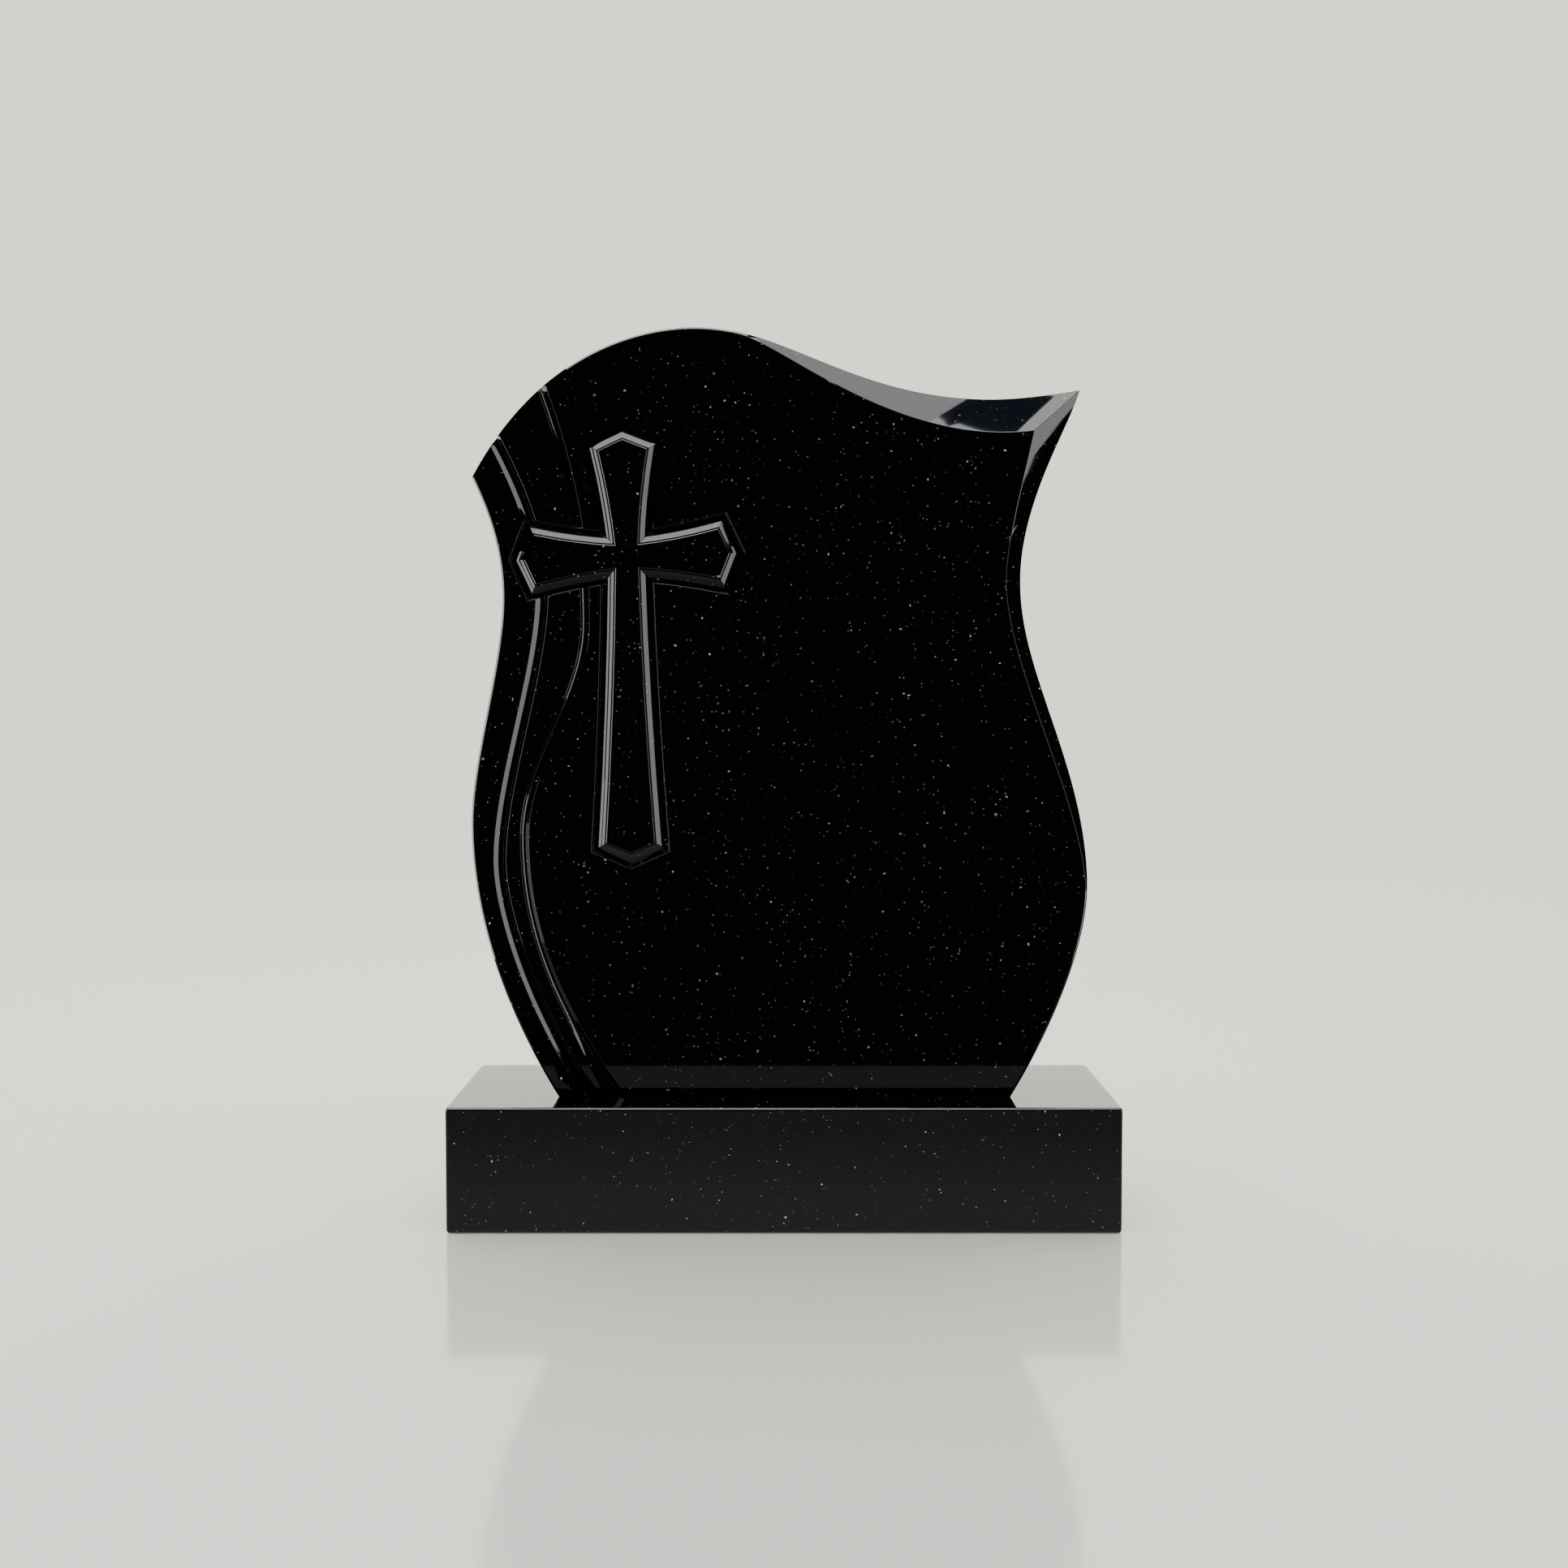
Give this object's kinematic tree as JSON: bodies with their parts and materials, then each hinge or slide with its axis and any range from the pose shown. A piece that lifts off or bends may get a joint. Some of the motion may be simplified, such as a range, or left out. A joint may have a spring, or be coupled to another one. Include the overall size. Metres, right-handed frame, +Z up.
{
  "type": "headstone",
  "caption": "Polished black granite headstone: a wavy-edged tablet with a raised cross, a carved ribbon and a bevelled tip on a low rectangular plinth.",
  "frame": {"origin": "middle of the plinth's underside", "axes": "+Z up, +X to the right as seen from the front, front face towards -Y"},
  "size_m": [0.64, 0.2, 0.859],
  "materials": {
    "polished_black_granite": "polished"
  },
  "bodies": {
    "root": {"tablet": "polished_black_granite", "plinth": "polished_black_granite"}
  },
  "joints": []
}
